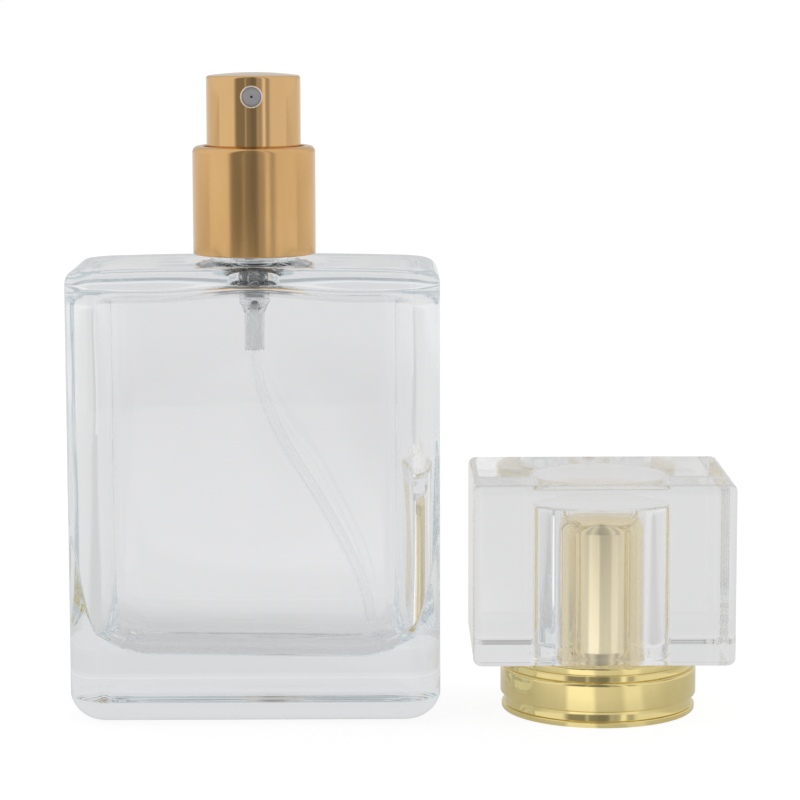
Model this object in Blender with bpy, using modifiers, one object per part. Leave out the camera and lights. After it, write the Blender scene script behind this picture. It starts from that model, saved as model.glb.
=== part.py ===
"""Perfume bottle with a spray pump, and its clear cap standing beside it.

Frame: origin at the centre of the bottle's base, +Z up, the spray comes out towards -Y.
All dimensions below are in millimetres; MM turns them into metres.
"""
import math

import bmesh
import bpy
from mathutils import Matrix, Vector

MM = 0.001
STEPS = 48           # facets round the large turned pieces
FINE_STEPS = 28      # facets round the small pump pieces
COIL_STEPS = 12      # points in one turn of a spring
THREAD_STEPS = 24    # points in one turn of a screw thread
SMOOTH_ANGLE = math.radians(35)
MERGE = 0.000001     # merge distance of the turned pieces, in metres

# Glass bottle
BOTTLE_W = 54.2
BOTTLE_D = 29.0
SHOULDER_Z = 66.5
BOTTLE_CORNER_R = 5.5
BOTTLE_TOP_R = 2.2
BOTTLE_BASE_R = 3.5
WALL = 2.8
CAVITY_FLOOR_Z = 9.4
CAVITY_TOP_Z = 63.4
CAVITY_CORNER_R = 4.6
CAVITY_FLOOR_R = 4.4
CAVITY_TOP_R = 1.6
PEDESTAL_R = 7.9
PEDESTAL_Z = 67.2
NECK_R = 6.35
NECK_TOP_Z = 74.4
NECK_BORE_R = 3.9

# Screw thread between the neck and the closure
PITCH = 2.1
THREAD_WIRE_R = 0.55
NECK_THREAD_R = 6.55
NECK_THREAD_Z = 69.8
NECK_THREAD_TURNS = 1.5
CLOSURE_THREAD_R = 7.3
CLOSURE_THREAD_Z = NECK_THREAD_Z - PITCH / 2
CLOSURE_THREAD_TURNS = 1.4

# Closure and gold collar
CLOSURE_R = 8.3
CLOSURE_BORE_R = 7.35
CLOSURE_BASE_Z = 67.9
CLOSURE_TOP_Z = 78.3
CLOSURE_ROOF_Z = 77.5
CLOSURE_HOLE_R = 3.4
COLLAR_R = 9.0
COLLAR_WALL = 0.45
COLLAR_BASE_Z = 67.6
COLLAR_TOP_Z = 83.45
COLLAR_EDGE_R = 1.2
COLLAR_MOUTH_R = 7.3

# Pump
GASKET_R = 6.2
GASKET_BORE_R = 4.0
GASKET_Z = (74.6, 75.4)
FLANGE_R = 6.2
FLANGE_Z = (75.6, 76.4)
BARREL_R = 3.6
BARREL_BORE_R = 2.95
BARREL_STEP_Z = (65.0, 64.0)         # outer taper between the two barrels
BARREL_BORE_STEP_Z = (65.4, 64.4)    # inner taper
LOWER_BARREL_R = 2.28
LOWER_BARREL_BASE_Z = 60.8
LOWER_BORE_R = 1.75
SPRING_SEAT_Z = 61.3
BALL_CHAMBER_R = 1.05
BALL_SEAT_Z = (59.9, 59.35)          # cone on which the ball rests
INLET_R = 0.5
INLET_Z = 58.9
SOCKET_R = 1.5
SOCKET_BORE_R = 0.95
SOCKET_TOP_Z = 59.0
SOCKET_BASE_Z = 53.9
TUBE_R = 0.8
TUBE_WALL = 0.25
TUBE_TOP = (0.0, 0.0, 58.6)
TUBE_PULLS = ((1.5, 0.0, 38.0), (15.5, 0.0, 27.0))
TUBE_TIP = (16.9, 0.0, 12.5)
TUBE_POINTS = 22
BALL_R = 0.85
BALL_Z = 60.2
TURRET_Z = (76.6, 77.3)
CHIMNEY_R = 3.1
CHIMNEY_TOP_Z = 79.3
STEM_R = 1.6
STEM_BORE_R = 0.8
STEM_BASE_Z = 71.5
STEM_TOP_Z = 88.4
STEM_FLANGE_R = 2.55
STEM_FLANGE_Z = (75.9, 76.4)
STEM_HOLE_R = 1.8
PISTON_R = 2.85
PISTON_Z = (71.4, 73.6)
FOOT_R = 2.1
FOOT_Z = (70.6, 71.2)
FOOT_SPIGOT_R = 0.6
FOOT_SPIGOT_TOP_Z = 73.4
FOOT_BOSS_R = 0.9
FOOT_BOSS_BASE_Z = 69.6
RETURN_SPRING = {"radius": 1.35, "wire": 0.17, "low": 61.7, "high": 70.2, "turns": 7}
VALVE_SPRING = {"radius": 2.15, "wire": 0.17, "low": 74.0, "high": 75.5, "turns": 2.5}

# Spray head
SHELL_R = 6.9
SHELL_WALL = 0.35
SHELL_BASE_Z = 82.6
SHELL_TOP_Z = 94.1
SHELL_EDGE_R = 0.8
BUTTON_R = 6.3
BUTTON_Z = (83.0, 93.5)
BUTTON_EDGE_R = 0.6
BUTTON_HOLLOW_R = (2.9, 5.3)
BUTTON_HOLLOW_TOP_Z = 88.0
BOSS_BASE_Z = 83.7
NOZZLE_Z = 90.7
NOZZLE_R = 1.5
NOZZLE_HOLE_R = 1.75
NOZZLE_FACE_Y = -6.72
NOZZLE_BACK_Y = -3.4
NOZZLE_DISH_R = (0.75, 1.05)         # floor and rim of the dished face
NOZZLE_DISH = 0.3
NOZZLE_SWIRL_R = 0.9
NOZZLE_PLATE = 1.0
ORIFICE_R = 0.2
CHANNEL_R = 0.5

# Cap, standing beside the bottle
CAP_X = 50.7
CAP_Y = -2.5
BLOCK_W = 37.9
BLOCK_D = 28.5
BLOCK_Z = (9.05, 35.55)
BLOCK_CORNER_R = 1.4
BLOCK_EDGE_R = 0.7
BLOCK_BORE_R = 10.3
BLOCK_BORE_TOP_Z = 31.6
INSERT_R = 9.8
INSERT_WALL = 0.4
INSERT_TOP_Z = 29.2
INSERT_EDGE_R = 1.5
INSERT_FLANGE_R = 11.1
INSERT_FLANGE_Z = (6.6, 7.2)
RING_BAND_R = 14.5
RING_FLANGE_R = 14.3
RING_UPPER_R = 14.15
RING_GROOVE_R = 13.8
RING_TOP_Z = 8.8
RING_BORE_R = 10.1
RING_COUNTERBORE_R = 11.4
RING_COUNTERBORE_Z = 7.5
RING_BAND_Z = (2.35, 6.65)
RING_BAND_EDGE_R = 0.8
RING_UPPER_BASE_Z = 7.8
RING_FLANGE_TOP_Z = 0.8
RING_CHAMFER = 0.2
GRIP_R = 11.1
GRIP_INNER_R = 9.7
GRIP_RIB_R = 9.1
GRIP_RIBS = 8
GRIP_Z = (1.0, 6.3)


def clear_scene():
    for obj in list(bpy.data.objects):
        bpy.data.objects.remove(obj, do_unlink=True)


def new_collection(name):
    collection = bpy.data.collections.new(name)
    bpy.context.scene.collection.children.link(collection)
    return collection


def material(name, color, roughness, metallic=0.0, alpha=1.0):
    mat = bpy.data.materials.new(name)
    mat.use_nodes = True
    shader = mat.node_tree.nodes["Principled BSDF"]
    shader.inputs["Base Color"].default_value = (*color, 1.0)
    shader.inputs["Roughness"].default_value = roughness
    shader.inputs["Metallic"].default_value = metallic
    shader.inputs["Alpha"].default_value = alpha
    return mat


def add_object(name, data, collection, mat=None):
    obj = bpy.data.objects.new(name, data)
    collection.objects.link(obj)
    if mat is not None:
        obj.data.materials.append(mat)
    return obj


def bake(obj):
    """Replace an object's mesh or curve by its evaluated mesh, welded and shaded."""
    bpy.context.view_layer.update()
    graph = bpy.context.evaluated_depsgraph_get()
    mesh = bpy.data.meshes.new_from_object(obj.evaluated_get(graph))
    bm = bmesh.new()
    bm.from_mesh(mesh)
    bmesh.ops.remove_doubles(bm, verts=bm.verts, dist=MERGE)
    bmesh.ops.recalc_face_normals(bm, faces=bm.faces)
    bm.to_mesh(mesh)
    bm.free()
    mesh.shade_smooth()
    mesh.set_sharp_from_angle(angle=SMOOTH_ANGLE)
    name = obj.name
    matrix = obj.matrix_world.copy()
    collection = obj.users_collection[0]
    bpy.data.objects.remove(obj, do_unlink=True)
    baked = bpy.data.objects.new(name, mesh)
    collection.objects.link(baked)
    baked.matrix_world = matrix
    return baked


def arc(centre, radius, start_deg, end_deg, count=5):
    """Points of an arc in the profile plane, start and end included."""
    points = []
    for i in range(count):
        angle = math.radians(start_deg + (end_deg - start_deg) * i / (count - 1))
        points.append((centre[0] + radius * math.cos(angle), centre[1] + radius * math.sin(angle)))
    return points


def turned(name, profile, collection, mat, steps=STEPS, closed=True):
    """Turn a profile of (radius, height) points, in mm, about the Z axis."""
    mesh = bpy.data.meshes.new(name)
    verts = [(r * MM, 0.0, z * MM) for r, z in profile]
    edges = [(i, i + 1) for i in range(len(verts) - 1)]
    if closed:
        edges.append((len(verts) - 1, 0))
    mesh.from_pydata(verts, edges, [])
    obj = add_object(name, mesh, collection, mat)
    screw = obj.modifiers.new("Turn", "SCREW")
    screw.axis = "Z"
    screw.angle = math.tau
    screw.steps = steps
    screw.render_steps = steps
    screw.use_merge_vertices = True
    screw.merge_threshold = MERGE
    return bake(obj)


def rounded_block(name, size, low_z, radii, collection, mat):
    """A box (width, depth, height) with rounded vertical, bottom and top edges."""
    width, depth, height = size
    corner_r, base_r, top_r = radii
    bm = bmesh.new()
    bmesh.ops.create_cube(bm, size=1.0)
    bmesh.ops.scale(bm, vec=Vector((width, depth, height)) * MM, verts=bm.verts)
    bmesh.ops.translate(bm, vec=(0.0, 0.0, (low_z + height / 2) * MM), verts=bm.verts)
    upright = [e for e in bm.edges if abs(e.verts[0].co.z - e.verts[1].co.z) > height * MM / 2]
    bmesh.ops.bevel(bm, geom=upright, offset=corner_r * MM, segments=6, profile=0.5, affect="EDGES")
    for level, radius in ((low_z, base_r), (low_z + height, top_r)):
        rim = [e for e in bm.edges if all(abs(v.co.z - level * MM) < MERGE for v in e.verts)]
        bmesh.ops.bevel(bm, geom=rim, offset=radius * MM, segments=4, profile=0.5, affect="EDGES")
    mesh = bpy.data.meshes.new(name)
    bm.to_mesh(mesh)
    bm.free()
    mesh.shade_smooth()
    mesh.set_sharp_from_angle(angle=SMOOTH_ANGLE)
    return add_object(name, mesh, collection, mat)


def cylinder(name, radius, low_z, high_z, collection, steps=STEPS):
    bm = bmesh.new()
    bmesh.ops.create_cone(
        bm, cap_ends=True, segments=steps,
        radius1=radius * MM, radius2=radius * MM, depth=(high_z - low_z) * MM,
    )
    bmesh.ops.translate(bm, vec=(0.0, 0.0, (low_z + high_z) / 2 * MM), verts=bm.verts)
    mesh = bpy.data.meshes.new(name)
    bm.to_mesh(mesh)
    bm.free()
    return add_object(name, mesh, collection)


def wire(name, points, radius, collection, mat=None, capped=True):
    """A round wire of the given radius through points, all in mm."""
    curve = bpy.data.curves.new(name, "CURVE")
    curve.dimensions = "3D"
    curve.bevel_depth = radius * MM
    curve.bevel_resolution = 2
    curve.use_fill_caps = capped
    spline = curve.splines.new("POLY")
    spline.points.add(len(points) - 1)
    for target, point in zip(spline.points, points):
        target.co = (*[c * MM for c in point], 1.0)
    return bake(add_object(name, curve, collection, mat))


def helix(radius, low_z, pitch, turns, per_turn):
    count = int(turns * per_turn) + 1
    points = []
    for i in range(count):
        turn = turns * i / (count - 1)
        angle = math.tau * turn
        points.append((radius * math.cos(angle), radius * math.sin(angle), low_z + pitch * turn))
    return points


def spring(name, spec, collection, mat):
    """An open-ended coil spring between two heights."""
    pitch = (spec["high"] - spec["low"]) / spec["turns"]
    points = helix(spec["radius"], spec["low"], pitch, spec["turns"], COIL_STEPS)
    return wire(name, points, spec["wire"], collection, mat)


def boolean(obj, tool, operation):
    """Combine an object with a tool, which is kept as a hidden wire guide."""
    modifier = obj.modifiers.new(tool.name, "BOOLEAN")
    modifier.operation = operation
    modifier.solver = "EXACT"
    modifier.object = tool
    tool.hide_render = True
    tool.display_type = "WIRE"


def make_bottle(parts, cutters, mat):
    body = rounded_block(
        "glass_bottle", (BOTTLE_W, BOTTLE_D, SHOULDER_Z), 0.0,
        (BOTTLE_CORNER_R, BOTTLE_BASE_R, BOTTLE_TOP_R), parts, mat,
    )
    embed_z = CAVITY_TOP_Z + 1.0
    neck = turned(
        "neck_blank",
        [(0.0, NECK_TOP_Z)]
        + arc((NECK_R - 0.4, NECK_TOP_Z - 0.4), 0.4, 90, 0, 3)
        + [(NECK_R, PEDESTAL_Z), (PEDESTAL_R, PEDESTAL_Z), (PEDESTAL_R, embed_z), (0.0, embed_z)],
        cutters, None, closed=False,
    )
    thread = wire(
        "neck_thread",
        helix(NECK_THREAD_R, NECK_THREAD_Z, PITCH, NECK_THREAD_TURNS, THREAD_STEPS),
        THREAD_WIRE_R, cutters,
    )
    cavity = rounded_block(
        "cavity_core",
        (BOTTLE_W - 2 * WALL, BOTTLE_D - 2 * WALL, CAVITY_TOP_Z - CAVITY_FLOOR_Z),
        CAVITY_FLOOR_Z, (CAVITY_CORNER_R, CAVITY_FLOOR_R, CAVITY_TOP_R), cutters, None,
    )
    bore = cylinder("neck_bore", NECK_BORE_R, CAVITY_TOP_Z - 1.5, NECK_TOP_Z + 1.0, cutters)
    boolean(body, neck, "UNION")
    boolean(body, thread, "UNION")
    boolean(body, cavity, "DIFFERENCE")
    boolean(body, bore, "DIFFERENCE")
    return bake(body)


def make_closure(parts, cutters, mats):
    closure = turned(
        "screw_closure",
        [(CLOSURE_HOLE_R, CLOSURE_TOP_Z), (CLOSURE_R - 0.4, CLOSURE_TOP_Z),
         (CLOSURE_R, CLOSURE_TOP_Z - 0.4), (CLOSURE_R, CLOSURE_BASE_Z),
         (CLOSURE_BORE_R, CLOSURE_BASE_Z), (CLOSURE_BORE_R, CLOSURE_ROOF_Z),
         (CLOSURE_HOLE_R, CLOSURE_ROOF_Z)],
        parts, mats["white_pp"],
    )
    thread = wire(
        "closure_thread",
        helix(CLOSURE_THREAD_R, CLOSURE_THREAD_Z, PITCH, CLOSURE_THREAD_TURNS, THREAD_STEPS),
        THREAD_WIRE_R, cutters,
    )
    boolean(closure, thread, "UNION")
    bake(closure)
    inner_r = COLLAR_R - COLLAR_WALL
    edge_centre = (COLLAR_R - COLLAR_EDGE_R, COLLAR_TOP_Z - COLLAR_EDGE_R)
    turned(
        "collar",
        [(COLLAR_MOUTH_R, COLLAR_TOP_Z)]
        + arc(edge_centre, COLLAR_EDGE_R, 90, 0, 6)
        + [(COLLAR_R, COLLAR_BASE_Z), (inner_r, COLLAR_BASE_Z)]
        + arc(edge_centre, COLLAR_EDGE_R - COLLAR_WALL, 0, 90, 4)
        + [(COLLAR_MOUTH_R, COLLAR_TOP_Z - COLLAR_WALL)],
        parts, mats["gold_satin"],
    )


def make_pump(parts, mats):
    turned(
        "neck_gasket",
        [(GASKET_BORE_R, GASKET_Z[1]), (GASKET_R, GASKET_Z[1]),
         (GASKET_R, GASKET_Z[0]), (GASKET_BORE_R, GASKET_Z[0])],
        parts, mats["gasket"], FINE_STEPS,
    )
    turned(
        "pump_housing",
        [(BARREL_BORE_R, FLANGE_Z[1]), (FLANGE_R, FLANGE_Z[1]), (FLANGE_R, FLANGE_Z[0]),
         (BARREL_R, FLANGE_Z[0]), (BARREL_R, BARREL_STEP_Z[0]),
         (LOWER_BARREL_R, BARREL_STEP_Z[1]), (LOWER_BARREL_R, LOWER_BARREL_BASE_Z),
         (SOCKET_R, SOCKET_TOP_Z), (SOCKET_R, SOCKET_BASE_Z), (SOCKET_BORE_R, SOCKET_BASE_Z),
         (SOCKET_BORE_R, INLET_Z), (INLET_R, INLET_Z), (INLET_R, BALL_SEAT_Z[1]),
         (BALL_CHAMBER_R, BALL_SEAT_Z[0]), (BALL_CHAMBER_R, SPRING_SEAT_Z),
         (LOWER_BORE_R, SPRING_SEAT_Z), (LOWER_BORE_R, BARREL_BORE_STEP_Z[1]),
         (BARREL_BORE_R, BARREL_BORE_STEP_Z[0])],
        parts, mats["clear_pp"], FINE_STEPS,
    )
    turned(
        "turret",
        [(STEM_HOLE_R, CHIMNEY_TOP_Z), (CHIMNEY_R - 0.2, CHIMNEY_TOP_Z),
         (CHIMNEY_R, CHIMNEY_TOP_Z - 0.2), (CHIMNEY_R, TURRET_Z[1]), (GASKET_R, TURRET_Z[1]),
         (GASKET_R, TURRET_Z[0]), (STEM_HOLE_R, TURRET_Z[0])],
        parts, mats["white_pp"], FINE_STEPS,
    )
    ball = bmesh.new()
    bmesh.ops.create_uvsphere(ball, u_segments=20, v_segments=12, radius=BALL_R * MM)
    mesh = bpy.data.meshes.new("check_ball")
    ball.to_mesh(mesh)
    ball.free()
    mesh.shade_smooth()
    add_object("check_ball", mesh, parts, mats["steel"]).location = (0.0, 0.0, BALL_Z * MM)
    spring("return_spring", RETURN_SPRING, parts, mats["steel"])
    make_dip_tube(parts, mats["clear_pe"])


def make_dip_tube(parts, mat):
    """The dip tube leaves the housing's socket and bows towards the cap side of the floor."""
    top = Vector(TUBE_TOP)
    straight = Vector((0.0, 0.0, SOCKET_BASE_Z - 0.8))
    tip = Vector(TUBE_TIP)
    first_pull = Vector(TUBE_PULLS[0])
    second_pull = Vector(TUBE_PULLS[1])
    points = [top, (top + straight) / 2]
    for i in range(TUBE_POINTS + 1):
        t = i / TUBE_POINTS
        s = 1.0 - t
        points.append(
            straight * s**3 + first_pull * 3 * s * s * t + second_pull * 3 * s * t * t + tip * t**3
        )
    tube = wire("dip_tube", points, TUBE_R, parts, mat, capped=False)
    wall = tube.modifiers.new("Wall", "SOLIDIFY")
    wall.thickness = TUBE_WALL * MM
    wall.offset = -1.0
    bake(tube)


def make_stem(parts, mats):
    turned(
        "stem",
        [(STEM_BORE_R, STEM_TOP_Z), (STEM_R - 0.2, STEM_TOP_Z), (STEM_R, STEM_TOP_Z - 0.2),
         (STEM_R, STEM_FLANGE_Z[1]), (STEM_FLANGE_R, STEM_FLANGE_Z[1]),
         (STEM_FLANGE_R, STEM_FLANGE_Z[0]), (STEM_R, STEM_FLANGE_Z[0]),
         (STEM_R, STEM_BASE_Z), (STEM_BORE_R, STEM_BASE_Z)],
        parts, mats["white_pp"], FINE_STEPS,
    )
    inner_r = STEM_R + 0.15
    turned(
        "piston",
        [(inner_r, PISTON_Z[1]), (PISTON_R - 0.5, PISTON_Z[1]), (PISTON_R, PISTON_Z[1] + 0.2),
         (PISTON_R, PISTON_Z[1] - 0.5), (PISTON_R - 0.25, PISTON_Z[1] - 0.9),
         (PISTON_R - 0.25, PISTON_Z[0] + 0.8), (PISTON_R, PISTON_Z[0] + 0.4),
         (PISTON_R, PISTON_Z[0] - 0.2), (PISTON_R - 0.5, PISTON_Z[0]), (inner_r, PISTON_Z[0])],
        parts, mats["clear_pe"], FINE_STEPS,
    )
    turned(
        "stem_foot",
        [(0.0, FOOT_SPIGOT_TOP_Z), (FOOT_SPIGOT_R, FOOT_SPIGOT_TOP_Z), (FOOT_SPIGOT_R, FOOT_Z[1]),
         (FOOT_R, FOOT_Z[1]), (FOOT_R, FOOT_Z[0]), (FOOT_BOSS_R, FOOT_Z[0]),
         (FOOT_BOSS_R, FOOT_BOSS_BASE_Z + 0.3), (FOOT_BOSS_R - 0.2, FOOT_BOSS_BASE_Z),
         (0.0, FOOT_BOSS_BASE_Z)],
        parts, mats["white_pp"], FINE_STEPS, closed=False,
    )
    spring("valve_spring", VALVE_SPRING, parts, mats["steel"])


def turned_along_y(name, profile, collection, mat, steps):
    """Turn (radius, distance) points about the nozzle's axis, which runs along Y."""
    obj = turned(name, profile, collection, mat, steps)
    turn = Matrix.Rotation(math.radians(90), 4, "X")
    obj.data.transform(Matrix.Translation((0.0, 0.0, NOZZLE_Z * MM)) @ turn)
    return obj


def front_drill(name, radius, reach, collection):
    """A cutter that enters the spray head from the front (-Y) at the nozzle's height."""
    drill = cylinder(name, radius, reach, SHELL_R + 2.0, collection, FINE_STEPS)
    turn = Matrix.Rotation(math.radians(90), 4, "X")
    drill.data.transform(Matrix.Translation((0.0, 0.0, NOZZLE_Z * MM)) @ turn)
    return drill


def make_spray_head(parts, cutters, mats):
    inner_r = SHELL_R - SHELL_WALL
    edge_centre = (SHELL_R - SHELL_EDGE_R, SHELL_TOP_Z - SHELL_EDGE_R)
    shell = turned(
        "button_shell",
        [(0.0, SHELL_TOP_Z)] + arc(edge_centre, SHELL_EDGE_R, 90, 0, 6)
        + [(SHELL_R, SHELL_BASE_Z), (inner_r, SHELL_BASE_Z)]
        + arc(edge_centre, SHELL_EDGE_R - SHELL_WALL, 0, 90, 4)
        + [(0.0, SHELL_TOP_Z - SHELL_WALL)],
        parts, mats["gold_gloss"], closed=False,
    )
    boolean(shell, front_drill("shell_window", NOZZLE_HOLE_R, 3.0, cutters), "DIFFERENCE")
    bake(shell)
    button_edge = (BUTTON_R - BUTTON_EDGE_R, BUTTON_Z[1] - BUTTON_EDGE_R)
    button = turned(
        "spray_button",
        [(0.0, BUTTON_Z[1])] + arc(button_edge, BUTTON_EDGE_R, 90, 0, 4)
        + [(BUTTON_R, BUTTON_Z[0]), (BUTTON_HOLLOW_R[1], BUTTON_Z[0]),
           (BUTTON_HOLLOW_R[1], BUTTON_HOLLOW_TOP_Z), (BUTTON_HOLLOW_R[0], BUTTON_HOLLOW_TOP_Z),
           (BUTTON_HOLLOW_R[0], BOSS_BASE_Z), (STEM_R + 0.15, BOSS_BASE_Z),
           (STEM_R + 0.15, STEM_TOP_Z + 0.3), (CHANNEL_R, STEM_TOP_Z + 0.3),
           (CHANNEL_R, NOZZLE_Z + 0.2), (0.0, NOZZLE_Z + 0.2)],
        parts, mats["white_pp"], FINE_STEPS, closed=False,
    )
    face = -NOZZLE_FACE_Y
    back = -NOZZLE_BACK_Y
    pocket = front_drill("nozzle_pocket", NOZZLE_HOLE_R, back - 0.3, cutters)
    channel = front_drill("spray_channel", CHANNEL_R - 0.1, 0.2, cutters)
    boolean(button, pocket, "DIFFERENCE")
    boolean(button, channel, "DIFFERENCE")
    bake(button)
    turned_along_y(
        "nozzle_insert",
        [(ORIFICE_R, face - NOZZLE_DISH), (NOZZLE_DISH_R[0], face - NOZZLE_DISH),
         (NOZZLE_DISH_R[1], face), (NOZZLE_R - 0.15, face), (NOZZLE_R, face - 0.15),
         (NOZZLE_R, back), (NOZZLE_SWIRL_R, back), (NOZZLE_SWIRL_R, face - NOZZLE_PLATE),
         (ORIFICE_R, face - NOZZLE_PLATE)],
        parts, mats["grey_pom"], FINE_STEPS,
    )


def ring_profile():
    """Outer outline of the cap's stepped ring, from its top face down to its base."""
    band_low, band_high = RING_BAND_Z
    band_edge = (RING_BAND_R - RING_BAND_EDGE_R, band_high - RING_BAND_EDGE_R)
    return (
        [(RING_BORE_R, RING_TOP_Z), (RING_UPPER_R - RING_CHAMFER, RING_TOP_Z),
         (RING_UPPER_R, RING_TOP_Z - RING_CHAMFER), (RING_UPPER_R, RING_UPPER_BASE_Z),
         (RING_GROOVE_R, RING_UPPER_BASE_Z - RING_CHAMFER), (RING_GROOVE_R, band_high + 0.1)]
        + arc(band_edge, RING_BAND_EDGE_R, 90, 0, 5)
        + [(RING_BAND_R, band_low + RING_CHAMFER), (RING_BAND_R - RING_CHAMFER, band_low),
           (RING_GROOVE_R, band_low - 0.15), (RING_GROOVE_R, RING_FLANGE_TOP_Z + 0.15),
           (RING_FLANGE_R, RING_FLANGE_TOP_Z), (RING_FLANGE_R, RING_CHAMFER),
           (RING_FLANGE_R - RING_CHAMFER, 0.0), (RING_COUNTERBORE_R, 0.0),
           (RING_COUNTERBORE_R, RING_COUNTERBORE_Z), (RING_BORE_R, RING_COUNTERBORE_Z)]
    )


def circle_points(radius_at, count):
    points = []
    for i in range(count):
        angle = math.tau * i / count
        radius = radius_at(angle)
        points.append((radius * math.cos(angle), radius * math.sin(angle)))
    return points


def rib_radius(angle):
    """Inner outline of the grip sleeve: a round bore with evenly spaced soft ribs."""
    wave = max(0.0, math.cos(GRIP_RIBS * angle))
    return GRIP_INNER_R - (GRIP_INNER_R - GRIP_RIB_R) * wave**2


def make_grip(parts, mat):
    curve = bpy.data.curves.new("cap_grip", "CURVE")
    curve.dimensions = "2D"
    curve.fill_mode = "BOTH"
    curve.extrude = (GRIP_Z[1] - GRIP_Z[0]) / 2 * MM
    for radius_at, count in ((lambda angle: GRIP_R, 48), (rib_radius, 96)):
        outline = circle_points(radius_at, count)
        spline = curve.splines.new("POLY")
        spline.points.add(count - 1)
        spline.use_cyclic_u = True
        for target, point in zip(spline.points, outline):
            target.co = (point[0] * MM, point[1] * MM, 0.0, 1.0)
    grip = bake(add_object("cap_grip", curve, parts, mat))
    grip.data.transform(Matrix.Translation((0.0, 0.0, (GRIP_Z[0] + GRIP_Z[1]) / 2 * MM)))
    return grip


def make_cap(parts, cutters, mats):
    block = rounded_block(
        "cap_block", (BLOCK_W, BLOCK_D, BLOCK_Z[1] - BLOCK_Z[0]), BLOCK_Z[0],
        (BLOCK_CORNER_R, BLOCK_EDGE_R, BLOCK_EDGE_R), parts, mats["clear_block"],
    )
    bore = cylinder("block_bore", BLOCK_BORE_R, BLOCK_Z[0] - 2.0, BLOCK_BORE_TOP_Z, cutters)
    boolean(block, bore, "DIFFERENCE")
    block = bake(block)
    inner_r = INSERT_R - INSERT_WALL
    edge_centre = (INSERT_R - INSERT_EDGE_R, INSERT_TOP_Z - INSERT_EDGE_R)
    insert = turned(
        "cap_insert",
        [(0.0, INSERT_TOP_Z)] + arc(edge_centre, INSERT_EDGE_R, 90, 0, 6)
        + [(INSERT_R, INSERT_FLANGE_Z[1]), (INSERT_FLANGE_R, INSERT_FLANGE_Z[1]),
           (INSERT_FLANGE_R, INSERT_FLANGE_Z[0]), (inner_r, INSERT_FLANGE_Z[0])]
        + arc(edge_centre, INSERT_EDGE_R - INSERT_WALL, 0, 90, 4)
        + [(0.0, INSERT_TOP_Z - INSERT_WALL)],
        parts, mats["gold_pale"], closed=False,
    )
    ring = turned("cap_ring", ring_profile(), parts, mats["gold_pale"])
    grip = make_grip(parts, mats["white_pp"])
    for piece in (block, insert, ring, grip):
        piece.location = (CAP_X * MM, CAP_Y * MM, 0.0)
    bore.location = (CAP_X * MM, CAP_Y * MM, 0.0)


def main():
    clear_scene()
    parts = new_collection("perfume_bottle")
    cutters = new_collection("cutters")
    mats = {
        "glass": material("glass", (0.86, 0.89, 0.90), 0.02, alpha=0.35),
        "clear_block": material("clear_block", (0.88, 0.91, 0.90), 0.02, alpha=0.35),
        "gold_satin": material("gold_satin", (0.72, 0.47, 0.24), 0.30, 1.0),
        "gold_gloss": material("gold_gloss", (0.74, 0.49, 0.25), 0.18, 1.0),
        "gold_pale": material("gold_pale", (0.72, 0.56, 0.30), 0.08, 1.0),
        "white_pp": material("white_pp", (0.84, 0.84, 0.82), 0.45),
        "clear_pp": material("clear_pp", (0.80, 0.82, 0.82), 0.25, alpha=0.5),
        "clear_pe": material("clear_pe", (0.82, 0.84, 0.84), 0.30, alpha=0.5),
        "grey_pom": material("grey_pom", (0.45, 0.43, 0.40), 0.40),
        "gasket": material("gasket", (0.10, 0.10, 0.11), 0.70),
        "steel": material("steel", (0.62, 0.63, 0.65), 0.25, 1.0),
    }
    make_bottle(parts, cutters, mats["glass"])
    make_closure(parts, cutters, mats)
    make_pump(parts, mats)
    make_stem(parts, mats)
    make_spray_head(parts, cutters, mats)
    make_cap(parts, cutters, mats)


main()
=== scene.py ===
"""Visual scene of a spray perfume bottle and its cap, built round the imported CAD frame."""

import math

import bmesh
import bpy
import numpy as np
from mathutils import Matrix, Vector, noise


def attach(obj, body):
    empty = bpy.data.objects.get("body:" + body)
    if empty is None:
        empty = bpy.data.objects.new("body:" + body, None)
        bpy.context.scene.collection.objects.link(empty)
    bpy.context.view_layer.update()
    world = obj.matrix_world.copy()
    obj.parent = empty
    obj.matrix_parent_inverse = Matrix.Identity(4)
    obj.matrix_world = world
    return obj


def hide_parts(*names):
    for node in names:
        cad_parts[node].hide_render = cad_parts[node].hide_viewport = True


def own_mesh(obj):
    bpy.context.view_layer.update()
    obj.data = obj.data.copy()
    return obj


MM = 0.001  # shapes are written in mm, in the row frame; the front faces -Y
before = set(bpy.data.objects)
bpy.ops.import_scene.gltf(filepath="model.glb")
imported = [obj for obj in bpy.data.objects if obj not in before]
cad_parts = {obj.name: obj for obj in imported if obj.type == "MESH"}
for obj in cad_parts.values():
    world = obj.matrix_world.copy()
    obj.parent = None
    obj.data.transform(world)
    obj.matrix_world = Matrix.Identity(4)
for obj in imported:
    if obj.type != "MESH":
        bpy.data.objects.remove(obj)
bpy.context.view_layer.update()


# ---------------------------------------------------------------- mesh tools

def make_object(name, verts, faces, mat, body, nodes, sharp_deg=32.0):
    """A smooth mesh, given in mm in the row frame, that stands for CAD nodes of one body."""
    mesh = bpy.data.meshes.new(name)
    mesh.from_pydata([tuple(c * MM for c in v) for v in verts], [], faces)
    mesh.validate()
    mesh.update()
    mesh.shade_smooth()
    mesh.set_sharp_from_angle(angle=math.radians(sharp_deg))
    obj = bpy.data.objects.new(name, mesh)
    bpy.context.scene.collection.objects.link(obj)
    obj.data.materials.append(mat)
    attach(obj, body)
    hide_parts(*nodes)
    return obj


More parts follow.
